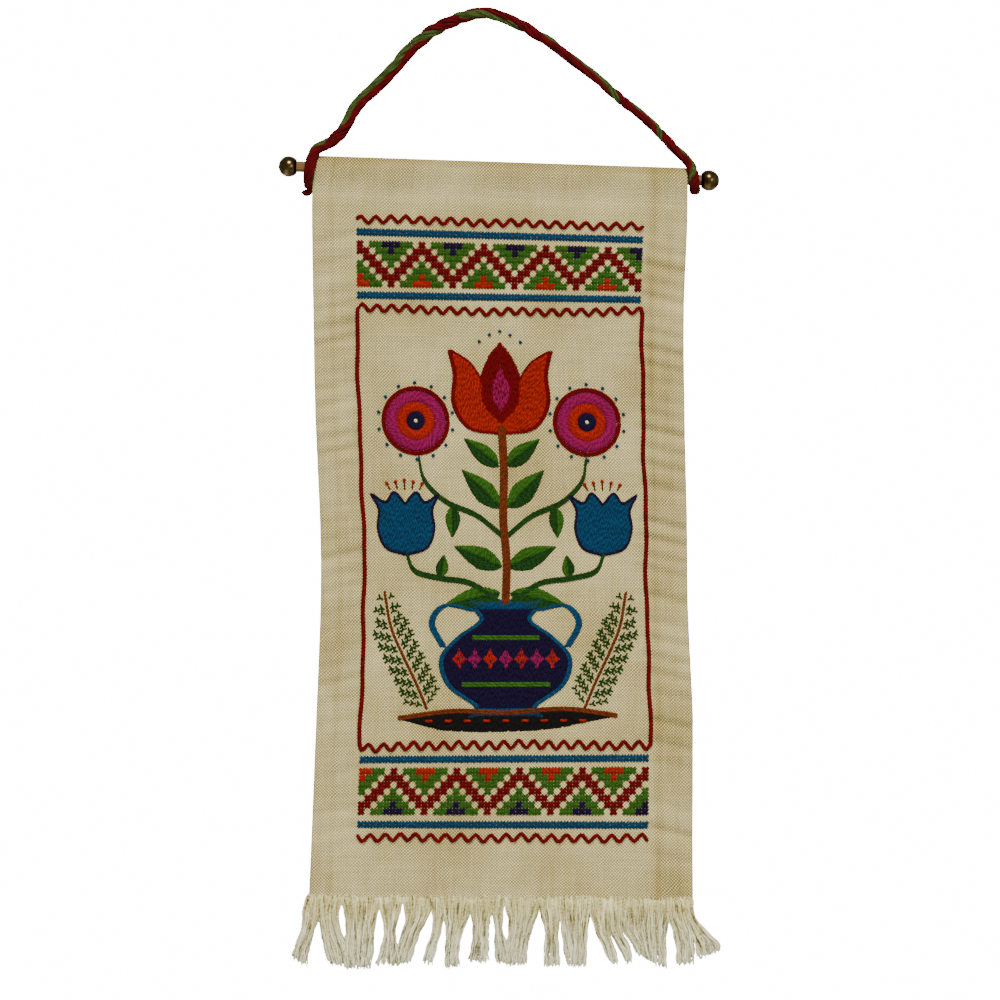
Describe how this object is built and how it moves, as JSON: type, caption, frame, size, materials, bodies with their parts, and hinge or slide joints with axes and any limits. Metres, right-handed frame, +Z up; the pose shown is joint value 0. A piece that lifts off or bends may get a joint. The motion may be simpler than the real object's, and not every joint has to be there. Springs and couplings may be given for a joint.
{
  "type": "crewel wall hanging with rod",
  "caption": "Long narrow embroidered cloth on a ball-ended wooden rod, fringed at its foot, held up by an arched twisted wool cord.",
  "frame": {"origin": "underside of the cord at the top of its arch, where a nail or hook carries it", "axes": "+Z up, +X to the right as seen from the front, worked side faces -Y, wall behind at +Y"},
  "size_m": [0.2544, 0.0183, 0.5552],
  "materials": {
    "homespun_cloth": "cream plain-woven homespun, matt",
    "fringe_threads": "unravelled cream yarn, matt",
    "dowel_wood": "bare tan hardwood dowel",
    "antique_brass": "dark antique brass, polished",
    "cord_wool": "twisted wool yarn, red ply and green ply, matt",
    "embroidery_wool": "worked wool yarn in red, blue, green, navy and orange, matt"
  },
  "bodies": {
    "root": {"cloth": "homespun_cloth", "fringe": "fringe_threads", "rod": "dowel_wood", "finial_left": "antique_brass", "finial_right": "antique_brass", "hanging_cord": "cord_wool", "cord_tail_left": "cord_wool"}
  },
  "joints": []
}
